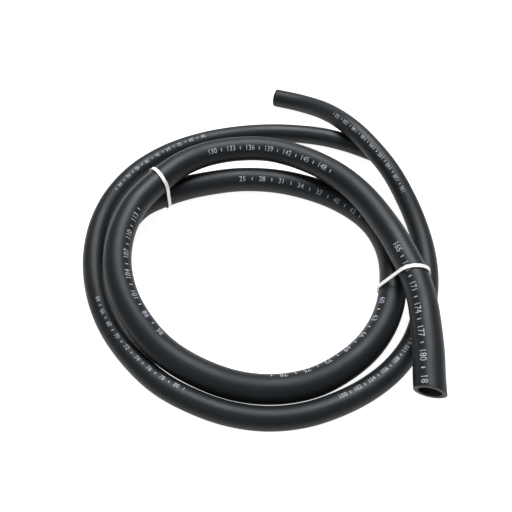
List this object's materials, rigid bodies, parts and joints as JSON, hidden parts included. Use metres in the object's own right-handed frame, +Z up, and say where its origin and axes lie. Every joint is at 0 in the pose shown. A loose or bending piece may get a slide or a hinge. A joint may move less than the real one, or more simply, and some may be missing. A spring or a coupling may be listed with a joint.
{
  "type": "fuel hose coil",
  "caption": "Loose flat coil of plain black rubber fuel hose, a thick and a thin length with open cut ends, bundled with white nylon cable ties.",
  "frame": {"origin": "on the floor under the middle of the coil's bounding box", "axes": "+Z up, the coil lies flat; +Y towards the free end of the thin hose, -Y the way the thick hose's open end points"},
  "size_m": [0.4791, 0.5706, 0.0758],
  "materials": {
    "thick_rubber": "smooth matt black with a soft sheen",
    "thin_rubber": "smooth matt black with a soft sheen",
    "tie_nylon": "natural white nylon, satin"
  },
  "bodies": {
    "root": {"thick_hose": "thick_rubber", "thin_hose": "thin_rubber", "left_tie": "tie_nylon", "right_tie": "tie_nylon"}
  },
  "joints": []
}
